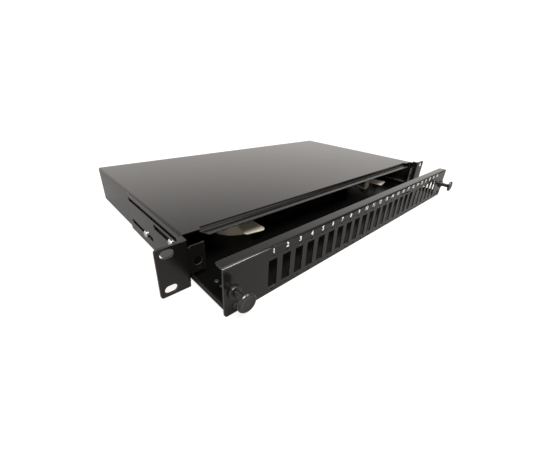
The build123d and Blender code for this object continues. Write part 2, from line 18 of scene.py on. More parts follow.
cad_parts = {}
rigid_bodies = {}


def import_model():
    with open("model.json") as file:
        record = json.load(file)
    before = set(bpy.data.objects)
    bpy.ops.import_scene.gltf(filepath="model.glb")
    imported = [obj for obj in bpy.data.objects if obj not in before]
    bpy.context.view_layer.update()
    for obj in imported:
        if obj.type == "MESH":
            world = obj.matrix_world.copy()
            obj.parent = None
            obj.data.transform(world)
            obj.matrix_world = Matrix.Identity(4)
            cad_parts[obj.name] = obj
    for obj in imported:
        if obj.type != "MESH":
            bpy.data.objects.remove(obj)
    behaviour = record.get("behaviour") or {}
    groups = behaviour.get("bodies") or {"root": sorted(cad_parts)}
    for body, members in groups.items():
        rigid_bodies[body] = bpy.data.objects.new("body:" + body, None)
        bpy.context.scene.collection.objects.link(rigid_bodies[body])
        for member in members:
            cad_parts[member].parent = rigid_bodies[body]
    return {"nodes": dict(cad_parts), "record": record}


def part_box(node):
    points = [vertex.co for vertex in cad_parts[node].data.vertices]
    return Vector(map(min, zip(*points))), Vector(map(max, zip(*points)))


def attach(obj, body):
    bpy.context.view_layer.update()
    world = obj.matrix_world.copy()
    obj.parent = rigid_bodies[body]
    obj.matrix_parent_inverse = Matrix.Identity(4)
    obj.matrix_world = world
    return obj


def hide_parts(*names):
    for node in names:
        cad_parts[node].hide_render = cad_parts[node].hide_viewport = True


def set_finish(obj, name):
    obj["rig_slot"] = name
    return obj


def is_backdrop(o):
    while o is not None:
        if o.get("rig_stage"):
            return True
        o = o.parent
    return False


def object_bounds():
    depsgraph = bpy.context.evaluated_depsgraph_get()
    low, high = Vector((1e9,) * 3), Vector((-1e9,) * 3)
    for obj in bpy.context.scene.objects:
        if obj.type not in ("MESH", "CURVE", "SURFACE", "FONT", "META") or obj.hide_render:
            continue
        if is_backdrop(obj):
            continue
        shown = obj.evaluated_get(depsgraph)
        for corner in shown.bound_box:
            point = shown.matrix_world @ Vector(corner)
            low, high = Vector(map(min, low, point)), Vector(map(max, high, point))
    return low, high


MM = 0.001
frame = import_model()
nodes = frame["nodes"]
record = frame["record"]
cad_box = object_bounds()
body_of_node = {
    node: body for body, names in record["behaviour"]["bodies"].items() for node in names
}
slot_of_node = {entry["node"]: entry["material_slot"] for entry in record["subparts"]}
print("nodes in the frame:", len(nodes))

# %% [markdown]
# ## The camera
#
# The view looks down on the left front corner from close by, with a wide lens,
# so the drawer front seems to rush away to the right. Azimuth and elevation
# aim the camera, and a small roll tips the horizon, as a hand does.

# %% Camera
camera_place = Vector((-293.7, -171.2, 127.7)) * MM
camera_azimuth = math.radians(44.68)
camera_elevation = math.radians(26.82)
camera_roll = math.radians(3.21)

camera_data = bpy.data.cameras.new("camera")
camera_data.sensor_width = 36.0
camera_data.lens = 17.93
camera_data.clip_start = 0.01
camera = bpy.data.objects.new("camera", camera_data)
bpy.context.collection.objects.link(camera)
turn = Matrix.Rotation(-camera_azimuth, 3, "Z")
turn = turn @ Matrix.Rotation(math.pi / 2 - camera_elevation, 3, "X")
turn = turn @ Matrix.Rotation(camera_roll, 3, "Z")
camera.matrix_world = Matrix.Translation(camera_place) @ turn.to_4x4()
bpy.context.scene.camera = camera
print("camera looks along", [round(c, 3) for c in turn @ Vector((0, 0, -1))])

# %% [markdown]
# ## Small helpers for nodes
#
# A material is a tree of nodes. Writing the tree in code is easier to read
# when one line adds a node and sets its plain inputs, and another joins two.
# The rest mix two colours, stretch a value between limits, do one sum and write
# a colour. They serve the studio, the node groups and every finish.

# %% Node helpers
def add(tree, kind, settings=None, **inputs):
    """Add a shader node, set its properties and then its inputs by name."""
    node = tree.nodes.new("ShaderNode" + kind)
    for key, value in (settings or {}).items():
        setattr(node, key, value)
    for key, value in inputs.items():
        node.inputs[key.replace("_", " ")].default_value = value
    return node


def join(tree, *pairs):
    """Link pairs of sockets, each written as (output, input)."""
    for output, entry in pairs:
        tree.links.new(output, entry)


def blend_colours(tree, factor, first, second, mode="MIX"):
    """Mix two colours, each a socket or a plain colour, by a factor socket."""
    mix = tree.nodes.new("ShaderNodeMix")
    mix.data_type = "RGBA"
    mix.blend_type = mode
    if isinstance(factor, float):
        mix.inputs[0].default_value = factor
    else:
        tree.links.new(factor, mix.inputs[0])
    for socket, value in ((mix.inputs[6], first), (mix.inputs[7], second)):
        if isinstance(value, tuple):
            socket.default_value = value
        else:
            tree.links.new(value, socket)
    return mix.outputs[2]


def span(tree, value, low, high, to_low=0.0, to_high=1.0):
    """Stretch a value between two limits and clamp it."""
    node = add(tree, "MapRange", From_Min=low, From_Max=high, To_Min=to_low, To_Max=to_high)
    tree.links.new(value, node.inputs["Value"])
    return node.outputs["Result"]


def calculate(tree, operation, first, second):
    """One sum or product of two values, each a socket or a number."""
    node = add(tree, "Math", {"operation": operation})
    for socket, value in ((node.inputs[0], first), (node.inputs[1], second)):
        if isinstance(value, (int, float)):
            socket.default_value = value
        else:
            tree.links.new(value, socket)
    return node.outputs[0]


def colour(red, green, blue):
    """A colour with full alpha."""
    return (red, green, blue, 1.0)


# %% [markdown]
# ## Light and floor
#
# Black powder coat has almost no colour of its own. What shows on it is the
# studio: faint where the sheet is seen square on, bright where it is seen at a
# slant. So the studio decides how the metal reads. It is a pale tent, greyer
# overhead, with one dark side: in front, on the right, and at eye height. The
# dark side draws the thin black line along each bend, and the grey roof makes
# the top fade towards the viewer. A wide soft box above lights the floor and
# the pale plastic inside, and a smaller key lamp stands in front on the left.
#
# The floor and the tent are plain white to the camera alone. What the coat
# mirrors is the darker floor and the shaded tent that are set here.

# %% Floor
floor_size = 40.0
floor_gap = 0.2 * MM
glow_starts, glow_is_full = 0.5, 1.5         # metres from the middle of the floor
glow_near, glow_far = 0.08, 0.85
glow_for_camera = 0.74

floor_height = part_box("base_plate")[0][2]
bpy.ops.mesh.primitive_plane_add(size=floor_size, location=(0, 0, floor_height - floor_gap))
floor = bpy.context.object
floor.name = "floor"
floor_paint = bpy.data.materials.new("floor_paint")
floor_paint.use_nodes = True
paper = floor_paint.node_tree
floor_shader = paper.nodes["Principled BSDF"]
floor_shader.inputs["Base Color"].default_value = colour(0.24, 0.235, 0.23)
floor_shader.inputs["Roughness"].default_value = 0.9
floor_shader.inputs["Specular IOR Level"].default_value = 0.1
floor_shader.inputs["Emission Color"].default_value = colour(1.0, 0.965, 0.94)
from_middle = add(paper, "VectorMath", {"operation": "LENGTH"})
join(paper, (add(paper, "TexCoord").outputs["Object"], from_middle.inputs[0]))
glow = span(paper, from_middle.outputs["Value"], glow_starts, glow_is_full, glow_near, glow_far)
seen = add(paper, "LightPath").outputs["Is Camera Ray"]
glow_seen = calculate(paper, "ADD", glow, calculate(paper, "MULTIPLY", seen, glow_for_camera))
join(paper, (glow_seen, floor_shader.inputs["Emission Strength"]))
floor.data.materials.append(floor_paint)
floor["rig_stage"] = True
print("floor at", round(floor_height / MM, 2), "mm")

# %% Studio
tent_strength = 1.02
tent_wall = colour(1.0, 0.965, 0.935)
tent_roof = colour(0.30, 0.30, 0.30)
tent_dark_side = colour(0.03, 0.03, 0.03)
tent_seen = colour(1.0, 1.0, 1.0)

world = bpy.data.worlds.new("studio")
world.use_nodes = True
tent = world.node_tree
sky = tent.nodes["Background"]
direction = add(tent, "TexCoord").outputs["Generated"]
parts = add(tent, "SeparateXYZ")
join(tent, (direction, parts.inputs[0]))
overhead = span(tent, parts.outputs["Z"], 0.34, 0.62)
wall = blend_colours(tent, overhead, tent_wall, tent_roof)
in_front = span(tent, parts.outputs["Y"], -0.02, -0.26)
not_opposite = span(tent, parts.outputs["Y"], -0.74, -0.60)
at_eye_height = span(tent, parts.outputs["Z"], 0.80, 0.55)
to_the_right = span(tent, parts.outputs["X"], 0.10, 0.34)
darkness = calculate(tent, "MULTIPLY", in_front, not_opposite)
for limit in (at_eye_height, to_the_right):
    darkness = calculate(tent, "MULTIPLY", darkness, limit)
shade = blend_colours(tent, darkness, wall, tent_dark_side)
seen = add(tent, "LightPath").outputs["Is Camera Ray"]
join(tent, (blend_colours(tent, seen, shade, tent_seen), sky.inputs["Color"]))
sky.inputs["Strength"].default_value = tent_strength
bpy.context.scene.world = world
bpy.context.scene.view_settings.view_transform = "Standard"


def lamp(name, place, aim, size, power):
    """A soft square lamp that faces a point."""
    data = bpy.data.lights.new(name, "AREA")
    data.size = size
    data.energy = power
    lamp_object = bpy.data.objects.new(name, data)
    bpy.context.collection.objects.link(lamp_object)
    facing = (Vector(aim) - Vector(place)).to_track_quat("-Z", "Y")
    lamp_object.matrix_world = Matrix.Translation(Vector(place)) @ facing.to_matrix().to_4x4()
    return lamp_object


lamp("soft_box", place=(0, 0, 2.2), aim=(0, 0, 0), size=2.5, power=38)
lamp("front_key", place=(-0.45, -0.75, 1.25), aim=(0, -0.02, 0), size=0.5, power=26)
edge_light = lamp("edge_light", place=(0.30, -0.62, 0.72), aim=(-0.15, -0.04, 0), size=0.22, power=4.5)

# %% [markdown]
# ## Modelling helpers
#
# An operator acts on everything that is selected, so each helper first clears
# the selection and picks its own piece. A finished piece is then handed over
# with the same four facts every time: the body it rides on, the finish it
# takes, the engineering node it stands for, and a mesh that holds its place.

# %% Selecting and finishing
weld_gap = 0.004 * MM
rim_steps = 2
smooth_below = math.radians(48)


def pick(piece):
    """Select one object alone and make it the active one."""
    if bpy.context.mode != "OBJECT":
        bpy.ops.object.mode_set(mode="OBJECT")
    bpy.ops.object.select_all(action="DESELECT")
    piece.select_set(True)
    bpy.context.view_layer.objects.active = piece


def apply_modifier(piece, kind, name, **settings):
    """Add a modifier, set it up and apply it."""
    pick(piece)
    modifier = piece.modifiers.new(name, kind)
    for key, value in settings.items():
        setattr(modifier, key, value)
    bpy.ops.object.modifier_apply(modifier=name)


def round_edges(piece, width, angle=34.0):
    """Bevel every edge sharper than an angle, keep the flats flat and mark the new rims."""
    apply_modifier(piece, "BEVEL", "edge_round", width=width * MM, segments=rim_steps,
                   limit_method="ANGLE", angle_limit=math.radians(angle), use_clamp_overlap=False,
                   face_strength_mode="FSTR_ALL")
    strengths = piece.data.attributes["__mod_weightednormals_faceweight"].data
    on_rim = [float(face.value <= 0) for face in strengths]
    pick(piece)
    bpy.ops.object.shade_smooth_by_angle(angle=smooth_below)
    apply_modifier(piece, "WEIGHTED_NORMAL", "flat_normals", keep_sharp=True, use_face_influence=True)
    piece.data.attributes.new("rim", "FLOAT", "FACE").data.foreach_set("value", on_rim)


def hand_over(piece, *node_names):
    """Give a finished piece its body, its slot and the nodes it stands for."""
    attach(piece, body_of_node[node_names[0]])
    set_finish(piece, slot_of_node[node_names[0]])
    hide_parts(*node_names)
    return piece


# %% [markdown]
# ## Sheet metal and mouldings
#
# A pressed sheet never has a perfectly sharp edge. The coat builds up on it and
# the rounded edge catches a thread of light, and that thread is most of what
# tells the eye that a black box is made of thin steel. The folds are already
# in the engineering model, so the quickest honest way is to copy each shape,
# weld its loose triangles, clear the flat faces and bevel what is left.

# %% Soften the engineering shapes
def soften(node_name, width):
    """Copy a node's shape with its sharp edges rounded by a width in millimetres."""
    piece = bpy.data.objects.new(node_name + "_soft", nodes[node_name].data.copy())
    bpy.context.collection.objects.link(piece)
    pick(piece)
    bpy.ops.object.mode_set(mode="EDIT")
    bpy.ops.mesh.select_all(action="SELECT")
    bpy.ops.mesh.remove_doubles(threshold=weld_gap)
    bpy.ops.mesh.dissolve_limited(angle_limit=math.radians(1.0))
    bpy.ops.object.mode_set(mode="OBJECT")
    round_edges(piece, width)
    return hand_over(piece, node_name)


sheet_edges = {
    "cover": 0.28, "front_panel": 0.25, "ear_bracket_left": 0.35, "ear_bracket_right": 0.35,
    "drawer_tray": 0.22, "rear_panel": 0.2, "base_plate": 0.2, "drawer_stop_left": 0.2,
    "drawer_stop_right": 0.2, "slide_rail_left": 0.18, "slide_rail_right": 0.18,
}
moulded_edges = {
    "fibre_guide_front_left": 0.55, "fibre_guide_front_right": 0.55,
    "fibre_guide_back_left": 0.55, "fibre_guide_back_right": 0.55,
    "splice_tray_base": 0.35, "splice_tray_lid": 0.3,
    "splice_comb_front": 0.2, "splice_comb_back": 0.2,
    "cable_anchor_left": 0.4, "cable_anchor_right": 0.4,
    "glide_pad_left": 0.2, "glide_pad_right": 0.2,
    "gland_body_left": 0.3, "gland_body_right": 0.3,
    "gland_locknut_left": 0.3, "gland_locknut_right": 0.3,
    "gland_dome_left": 0.35, "gland_dome_right": 0.35,
    "gland_seal_left": 0.3, "gland_seal_right": 0.3,
    "blanking_plug_left": 0.3, "blanking_plug_right": 0.3,
    "earth_nut": 0.15, "earth_washer": 0.15, "earth_stud": 0.15, "bracket_nuts": 0.15,
}
softened = [soften(name, width) for name, width in {**sheet_edges, **moulded_edges}.items()]
print("softened pieces:", len(softened), "faces:", sum(len(piece.data.polygons) for piece in softened))

# %% [markdown]
# ## Turned pieces
#
# Knobs, collars and screws are round, so each is one outline spun about its
# axis. The outline starts as a single point, is extruded from point to point,
# and the spin operator sweeps it round. Heights run upwards along the axis,
# and the finished piece is then laid along the axis it has on the object.

# %% The spinner
def turned(name, outline, sides=64, closed=False):
    """Spin an outline of (radius, height) points in millimetres about Z."""
    points = [Vector((radius, 0, height)) * MM for radius, height in outline]
    if closed:
        points.append(points[0])
    bpy.ops.object.select_all(action="DESELECT")
    bpy.ops.mesh.primitive_plane_add(size=0.01, location=(0, 0, 0))
    piece = bpy.context.object
    piece.name = name
    bpy.ops.object.mode_set(mode="EDIT")
    bpy.ops.mesh.select_all(action="SELECT")
    bpy.ops.mesh.merge(type="CENTER")
    bpy.ops.transform.translate(value=points[0])
    for before, after in zip(points, points[1:]):
        bpy.ops.mesh.extrude_region_move(TRANSFORM_OT_translate={"value": after - before})
    bpy.ops.mesh.select_all(action="SELECT")
    bpy.ops.mesh.remove_doubles(threshold=0.001 * MM)
    bpy.ops.mesh.select_all(action="SELECT")
    bpy.ops.mesh.spin(steps=sides, angle=2 * math.pi, center=(0, 0, 0), axis=(0, 0, 1))
    bpy.ops.mesh.select_all(action="SELECT")
    bpy.ops.mesh.remove_doubles(threshold=0.002 * MM)
    bpy.ops.mesh.normals_make_consistent(inside=False)
    bpy.ops.object.mode_set(mode="OBJECT")
    return piece


def lay(piece, place, axis):
    """Turn a piece's Z to an axis, move it to a place, and store both in its mesh."""
    pick(piece)
    facing = Vector(axis).to_track_quat("Z", "Y").to_matrix().to_4x4()
    piece.matrix_world = Matrix.Translation(Vector(place)) @ facing
    bpy.ops.object.transform_apply(location=True, rotation=True, scale=True)
    return piece


def cut(piece, cutter):
    """Take one shape away from another and delete the cutter."""
    apply_modifier(piece, "BOOLEAN", "cut", operation="DIFFERENCE", solver="EXACT", object=cutter)
    bpy.data.objects.remove(cutter)


def bar(length, width, depth, taper=1.0, height=0.0):
    """A bar about Z, in millimetres, whose lower face may be drawn in."""
    bpy.ops.object.select_all(action="DESELECT")
    bpy.ops.mesh.primitive_cube_add(size=1.0, location=(0, 0, height * MM))
    piece = bpy.context.object
    bpy.ops.object.mode_set(mode="EDIT")
    bpy.ops.mesh.select_all(action="SELECT")
    middle = (0, 0, height * MM)
    bpy.ops.transform.resize(value=(length * MM, width * MM, depth * MM), center_override=middle)
    bpy.ops.object.mode_set(mode="OBJECT")
    for face in piece.data.polygons:
        face.select = face.normal.z < -0.9
    bpy.ops.object.mode_set(mode="EDIT")
    bpy.ops.transform.resize(value=(taper, taper, 1.0), center_override=middle)
    bpy.ops.object.mode_set(mode="OBJECT")
    return piece


# %% [markdown]
# ## The push-pull knobs
#
# Each end of the drawer front has a plastic latch: a collar clipped into the
# sheet, and a plunger in it with a broad thumb head. Pushed in, the plunger
# spreads the collar's four legs behind the housing's tab. The head is slightly
# dished, with a small spot in the middle where the mould was fed, and its rim
# is what shines, so both are drawn in the outline and not left to a bump.

# %% Plungers
panel_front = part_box("front_panel")[0][1]
knob_rim = (panel_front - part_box("plunger_left")[0][1]) / MM
knob_radius = 7.8
stem_radius = 2.6
knob_outline = [
    (0.0, knob_rim - 0.45), (1.0, knob_rim - 0.45), (1.25, knob_rim - 0.6), (3.4, knob_rim - 0.5),
    (5.4, knob_rim - 0.25), (6.2, knob_rim), (6.9, knob_rim - 0.1),
    (7.4, knob_rim - 0.6), (knob_radius, knob_rim - 1.4), (knob_radius, knob_rim - 2.2),
    (7.3, knob_rim - 2.8), (5.0, knob_rim - 3.3), (3.4, knob_rim - 3.7),
    (stem_radius, knob_rim - 4.8), (stem_radius, -2.2), (1.6, -3.4), (0.0, -3.4),
]


def on_panel(node_name):
    """Where a node's middle meets the plane of the panel's front face."""
    low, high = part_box(node_name)
    return Vector(((low[0] + high[0]) / 2, panel_front, (low[2] + high[2]) / 2))


for side in ("left", "right"):
    knob = turned(f"plunger_{side}_turned", knob_outline)
    round_edges(knob, 0.12, angle=25)
    lay(knob, on_panel(f"plunger_{side}"), (0, -1, 0))
    hand_over(knob, f"plunger_{side}")
    print(knob.name, "faces:", len(knob.data.polygons))

# %% Collars with four sprung legs
bore_radius = 2.68
collar_outline = [
    (bore_radius, 2.6), (4.4, 2.6), (5.1, 2.3), (5.5, 1.6), (5.5, 0.0), (4.0, 0.0), (4.0, -1.55),
    (4.5, -1.6), (3.5, -3.2), (3.5, -8.0), (3.1, -8.8), (bore_radius, -8.8),
]
leg_cut_length, leg_cut_width, leg_cut_depth, leg_cut_middle = 12.0, 1.0, 8.0, -6.1
for side in ("left", "right"):
    collar = turned(f"plunger_bush_{side}_turned", collar_outline, closed=True)
    for across, along in ((leg_cut_length, leg_cut_width), (leg_cut_width, leg_cut_length)):
        cut(collar, bar(across, along, leg_cut_depth, height=leg_cut_middle))
    round_edges(collar, 0.12, angle=30)
    lay(collar, on_panel(f"plunger_bush_{side}"), (0, -1, 0))
    hand_over(collar, f"plunger_bush_{side}")
    print(collar.name, "faces:", len(collar.data.polygons))

# %% [markdown]
# ## Screws and rivets
#
# One group node in the frame holds every screw of a kind. The places are read
# from that group: its mesh is welded and split into islands, and each island's
# box says where a head stands. The screw is modelled once for each size, with
# a domed head, a cross recess that narrows downwards and a ribbed shank, and
# then copied to each place.

# %% Where each fastener stands
def islands(node_name):
    """The (low, high) boxes of the separate solids in a group node."""
    shape = bmesh.new()
    shape.from_mesh(nodes[node_name].data)
    bmesh.ops.remove_doubles(shape, verts=shape.verts, dist=weld_gap)
    boxes, seen_points = [], set()
    for start in shape.verts:
        if start in seen_points:
            continue
        cluster, queue = [], [start]
        seen_points.add(start)
        while queue:
            point = queue.pop()
            cluster.append(point.co.copy())
            for edge in point.link_edges:
                other = edge.other_vert(point)
                if other not in seen_points:
                    seen_points.add(other)
                    queue.append(other)
        low, high = (Vector(end(point[i] for point in cluster) for i in range(3)) for end in (min, max))
        boxes.append((low, high))
    shape.free()
    return boxes


def shank(radius, top, bottom, pitch=0.8, depth=0.22):
    """Outline points of a ribbed shank between two heights."""
    count = max(1, int((top - bottom - 0.6) / pitch))
    ribs = [(radius - depth * (k % 2), top - k * pitch / 2) for k in range(2 * count)]
    return ribs + [(radius - depth, bottom + 0.5), (radius * 0.6, bottom), (0.0, bottom)]


def cross_screw(name, head, thick, radius, length):
    """A domed cross-head screw with the top of its head at height zero."""
    outline = [(0.0, 0.0), (head * 0.45, -0.02 * thick), (head * 0.8, -0.25 * thick),
               (head, -0.62 * thick), (head, -thick)]
    screw = turned(name, outline + shank(radius, -thick, -length), sides=32)
    recess_length, recess_width, recess_depth = head * 1.15, head * 0.26, thick * 1.3
    for turned_by in (0, math.pi / 2):
        cutter = bar(recess_length, recess_width, recess_depth, taper=0.55)
        cutter.rotation_euler.z = turned_by
        pick(cutter)
        bpy.ops.object.transform_apply(location=False, rotation=True, scale=False)
        cut(screw, cutter)
    round_edges(screw, 0.07, angle=38)
    return screw


def rivet(name, head, thick, radius, length):
    """A pulled rivet: a low dome with the dimple that its stem leaves."""
    outline = [(0.0, -0.55 * thick), (head * 0.26, -0.5 * thick), (head * 0.34, -0.05 * thick),
               (head * 0.5, 0.0), (head * 0.8, -0.3 * thick), (head, -0.8 * thick), (head, -thick),
               (radius, -thick), (radius, -length), (0.0, -length)]
    piece = turned(name, outline, sides=32)
    round_edges(piece, 0.06, angle=38)
    return piece


def stand_copies(model, node_name, axis):
    """Copy a model to every solid of a group, join the copies and hand them over."""
    copies = []
    for low, high in islands(node_name):
        middle = (low + high) / 2
        outward = Vector((math.copysign(1.0, middle.x), 0, 0) if axis == "sideways" else axis)
        reach = (high - low) / 2
        place = middle + Vector(outward[i] * reach[i] for i in range(3))
        copy = bpy.data.objects.new(node_name + "_copy", model.data.copy())
        bpy.context.collection.objects.link(copy)
        copies.append(lay(copy, place, outward))
    bpy.data.objects.remove(model)
    pick(copies[0])
    for copy in copies:
        copy.select_set(True)
    if len(copies) > 1:
        bpy.ops.object.join()
    group = bpy.context.object
    group.name = node_name + "_set"
    return hand_over(group, node_name)


# %% Screw every group in
fastener_sizes = {       # maker, head radius, head thickness, shank radius, length, outward axis
    "bracket_screws": (cross_screw, 3.6, 2.2, 2.0, 10.3, "sideways"),
    "rear_screws": (cross_screw, 2.8, 2.0, 1.5, 8.2, (0, 1, 0)),
    "panel_screws": (cross_screw, 2.6, 1.3, 1.5, 6.3, (0, -1, 0)),
    "fibre_guide_screws": (cross_screw, 2.8, 1.8, 1.5, 4.7, (0, 0, 1)),
    "splice_tray_screws": (cross_screw, 2.8, 1.6, 1.5, 7.3, (0, 0, 1)),
    "cable_anchor_screws": (cross_screw, 2.8, 1.8, 1.5, 4.9, (0, 0, 1)),
    "glide_pad_rivets": (rivet, 2.3, 0.8, 1.6, 2.95, (0, 0, 1)),
    "stop_rivets": (rivet, 2.6, 1.0, 1.6, 3.35, (0, 0, 1)),
}
for node_name, (maker, head, thick, radius, length, axis) in fastener_sizes.items():
    group = stand_copies(maker(node_name + "_model", head, thick, radius, length), node_name, axis)
    print(group.name, "faces:", len(group.data.polygons))

# %% [markdown]
# ## Port numbers
#
# White numbers from 1 to 24 are printed above the openings, one to a port.
# Text is made a mesh before it is placed. The record lists a mount for every
# port, so the numbers take their places from there, and they stand a few
# hundredths of a millimetre proud of the coat, as screen-printed ink does.

# %% Numbers
number_height = 4.2
number_above = 20.6
line_per_number = 1.4
ink_thickness = 0.03
ink_spread = 0.12
ports = [mount for mount in record["mounts"] if mount["name"].startswith("adapter_port_")]
ports.sort(key=lambda mount: mount["name"])
numbers = []
for count, port in enumerate(ports, start=1):
    bpy.ops.object.select_all(action="DESELECT")
    bpy.ops.object.text_add(location=(0, 0, 0))
    label = bpy.context.object
    label.data.body = str(count)
    label.data.align_x = "CENTER"
    label.data.align_y = "CENTER"
    label.data.size = number_height * line_per_number * MM
    label.data.extrude = ink_thickness * MM
    label.data.offset = ink_spread * MM
    pick(label)
    bpy.ops.object.convert(target="MESH")
    across, _, up = port["pos_m"]
    place = Vector((across, panel_front - 0.5 * ink_thickness * MM, up + number_above * MM))
    label = bpy.context.object
    pick(label)
    label.matrix_world = Matrix.Translation(place) @ Matrix.Rotation(math.pi / 2, 4, "X")
    bpy.ops.object.transform_apply(location=True, rotation=True, scale=True)
    numbers.append(label)
pick(numbers[0])
for label in numbers:
    label.select_set(True)
bpy.ops.object.join()
port_numbers = bpy.context.object
port_numbers.name = "port_numbers"
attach(port_numbers, body_of_node["front_panel"])
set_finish(port_numbers, "white_print")
print("numbers printed:", len(ports))

# %% [markdown]
# ## Effects that several finishes share
#
# Paint, plastic and metal all vary a little from place to place, and all show
# it in the same three ways: the colour drifts, the gloss drifts, and the skin
# has a fine relief. Each family is one node group, built once, that puts out a
# colour, a roughness and a normal. A finish places the group with its own
# values, and keeps the shader and its plain numbers in the material itself.

# %% Building a group
def new_group(name, entries, exits):
    """A shader node group with named inputs and outputs, and its two end nodes."""
    group = bpy.data.node_groups.new(name, "ShaderNodeTree")
    for label, kind, value in entries:
        socket = group.interface.new_socket(label, in_out="INPUT", socket_type="NodeSocket" + kind)
        socket.default_value = value
    for label, kind in exits:
        group.interface.new_socket(label, in_out="OUTPUT", socket_type="NodeSocket" + kind)
    return group, group.nodes.new("NodeGroupInput").outputs, group.nodes.new("NodeGroupOutput").inputs


skin_exits = (("Color", "Color"), ("Roughness", "Float"), ("Normal", "Vector"))


def edge_mask(tree):
    """White on the rounded rims that round_edges marked, where the coat skin paints a highlight and the
    moulded skin shows rubbing.
    """
    return add(tree, "Attribute", {"attribute_name": "rim"}).outputs["Fac"]


# %% [markdown]
# Powder coat is sprayed on dry and melts in an oven. It levels into a satin
# skin with a faint orange peel, a few denser and thinner clouds, and specks
# of dust that were baked in. Along the bends and cut edges it lies a little
# thinner and is glossier, and a painted highlight makes it slightly paler there.

# %% Powder coat skin
coat_skin, given, put_out = new_group(
    "coat_skin",
    (("Colour", "Color", colour(0.01, 0.01, 0.01)), ("Roughness", "Float", 0.3), ("Clouds", "Float", 0.3),
     ("Peel", "Float", 0.2), ("Edge", "Float", 0.4)),
    skin_exits,
)
spot = add(coat_skin, "TexCoord").outputs["Object"]
peel = add(coat_skin, "TexNoise", Scale=850.0, Detail=2.0, Roughness=0.5)
clouds = add(coat_skin, "TexNoise", Scale=9.0, Detail=2.0, Roughness=0.45)
specks = add(coat_skin, "TexVoronoi", Scale=160.0)
join(coat_skin, *[(spot, texture.inputs["Vector"]) for texture in (peel, clouds, specks)])
cloud = span(coat_skin, clouds.outputs["Fac"], 0.15, 0.85)
speck = calculate(coat_skin, "MULTIPLY", span(coat_skin, specks.outputs["Distance"], 0.10, 0.04), 0.5)
rim = calculate(coat_skin, "MULTIPLY", edge_mask(coat_skin), given["Edge"])
lift = calculate(coat_skin, "MULTIPLY", cloud, given["Clouds"])
lighter = blend_colours(coat_skin, 1.0, given["Colour"], colour(1.7, 1.66, 1.6), "MULTIPLY")
tone = blend_colours(coat_skin, lift, given["Colour"], lighter)
# Painted highlight: the rims of the coat are lightened towards a pale grey.
tone = blend_colours(coat_skin, rim, tone, colour(0.05, 0.048, 0.046))
drift = calculate(coat_skin, "MULTIPLY", calculate(coat_skin, "SUBTRACT", cloud, 0.5), given["Clouds"])
gloss = calculate(coat_skin, "ADD", given["Roughness"], calculate(coat_skin, "MULTIPLY", drift, 0.25))
gloss = calculate(coat_skin, "SUBTRACT", gloss, calculate(coat_skin, "MULTIPLY", rim, 0.10))
relief = calculate(coat_skin, "ADD", peel.outputs["Fac"], speck)
bumps = add(coat_skin, "Bump", Distance=0.03 * MM)
join(coat_skin, (given["Peel"], bumps.inputs["Strength"]), (relief, bumps.inputs["Height"]),
     (tone, put_out["Color"]), (gloss, put_out["Roughness"]), (bumps.outputs["Normal"], put_out["Normal"]))
print("coat_skin nodes:", len(coat_skin.nodes))

# %% [markdown]
# Moulded plastic copies the steel of its mould. A knob's mould is polished and
# a gland's is spark-eroded, so the grain's size and depth are inputs. Handling
# leaves fine hairlines, which show as thin streaks of lower gloss, and the
# ribs and rims are rubbed a little brighter.

# %% Moulded plastic skin
mould_skin, given, put_out = new_group(
    "mould_skin",
    (("Colour", "Color", colour(0.02, 0.02, 0.02)), ("Roughness", "Float", 0.4),
     ("Grain Size", "Float", 900.0), ("Grain", "Float", 0.2), ("Scuffs", "Float", 0.3),
     ("Flow", "Float", 0.3)),
    skin_exits,
)
spot = add(mould_skin, "TexCoord").outputs["Object"]
grain = add(mould_skin, "TexNoise", Detail=3.0, Roughness=0.6)
flow = add(mould_skin, "TexNoise", Scale=35.0, Detail=2.0, Distortion=1.2)
streak_turn = add(mould_skin, "Mapping", Rotation=(0.4, 0.7, 0.5), Scale=(40.0, 900.0, 300.0))
streaks = add(mould_skin, "TexNoise", Scale=1.0, Detail=3.0, Roughness=0.7)
join(mould_skin, (spot, grain.inputs["Vector"]), (given["Grain Size"], grain.inputs["Scale"]),
     (spot, flow.inputs["Vector"]), (spot, streak_turn.inputs["Vector"]),
     (streak_turn.outputs["Vector"], streaks.inputs["Vector"]))
hairline = span(mould_skin, streaks.outputs["Fac"], 0.60, 0.72)
hairline = calculate(mould_skin, "MULTIPLY", hairline, given["Scuffs"])
rubbed = calculate(mould_skin, "MULTIPLY", edge_mask(mould_skin), given["Scuffs"])
swirl = span(mould_skin, flow.outputs["Fac"], 0.35, 0.65)
swirl = calculate(mould_skin, "MULTIPLY", swirl, given["Flow"])
deeper = blend_colours(mould_skin, 1.0, given["Colour"], colour(0.78, 0.76, 0.72), "MULTIPLY")
brighter = blend_colours(mould_skin, 1.0, given["Colour"], colour(1.35, 1.35, 1.35), "MULTIPLY")
tone = blend_colours(mould_skin, swirl, given["Colour"], deeper)
tone = blend_colours(mould_skin, rubbed, tone, brighter)
gloss = calculate(mould_skin, "ADD", given["Roughness"], calculate(mould_skin, "MULTIPLY", hairline, 0.22))
gloss = calculate(mould_skin, "ADD", gloss, calculate(mould_skin, "MULTIPLY", swirl, 0.10))
bumps = add(mould_skin, "Bump", Distance=0.025 * MM)
join(mould_skin, (given["Grain"], bumps.inputs["Strength"]), (grain.outputs["Fac"], bumps.inputs["Height"]),
     (tone, put_out["Color"]), (gloss, put_out["Roughness"]), (bumps.outputs["Normal"], put_out["Normal"]))
print("mould_skin nodes:", len(mould_skin.nodes))

# %% [markdown]
# Plated metal is bare, so its colour is its reflection. Small parts are
# tumbled and then dipped: the plating has a soft mottle, and wrench and driver
# marks run across it. The direction of the marks is an input, given as how
# tightly the pattern is packed along each axis.

